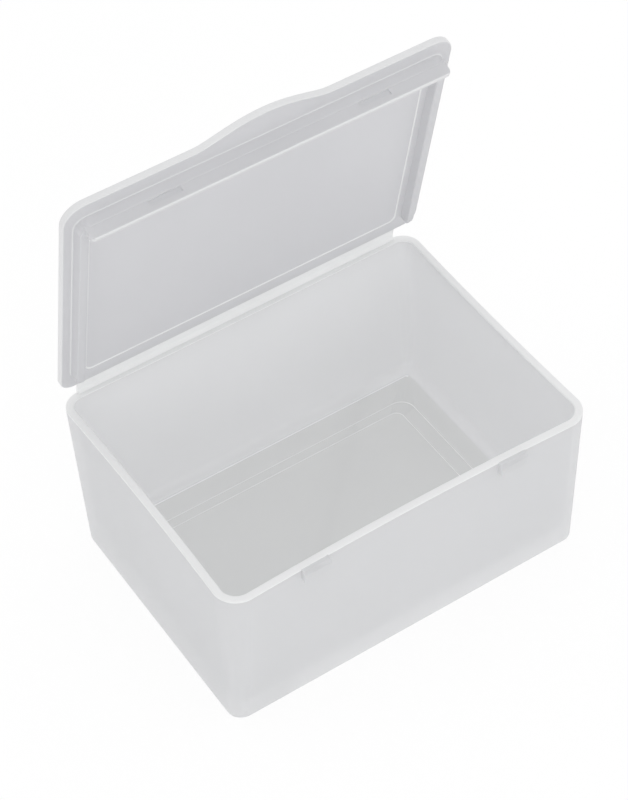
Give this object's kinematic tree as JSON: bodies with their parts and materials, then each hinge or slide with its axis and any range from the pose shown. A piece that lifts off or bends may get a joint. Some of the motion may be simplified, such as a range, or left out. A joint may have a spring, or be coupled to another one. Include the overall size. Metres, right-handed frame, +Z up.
{
  "type": "hinged tackle box",
  "caption": "Small frosted plastic tackle box: drafted rectangular tub and a plate lid on a living hinge, with a thumb tab, a plug skirt with latch windows, and rim catches",
  "frame": {"origin": "centre of the tub's flat base", "axes": "+X along the long side and the hinge, +Y from the front wall to the hinge, +Z up"},
  "size_m": [0.1092, 0.0829, 0.1359],
  "materials": {
    "tub_plastic": "frosted, translucent",
    "lid_plastic": "frosted, translucent",
    "hinge_plastic": "thin and glossy, translucent"
  },
  "bodies": {
    "tub_body": {"tub": "tub_plastic", "front_catch_left": "tub_plastic", "front_catch_right": "tub_plastic"},
    "lid_body": {"lid": "lid_plastic", "living_hinge": "hinge_plastic"}
  },
  "joints": [
    {"name": "lid_hinge", "type": "hinge", "parent": "tub_body", "child": "lid_body", "pos_m": [0, 0.04082, 0.0523], "axis": [-1, 0, 0], "range_deg": [-76.9, 100]}
  ]
}
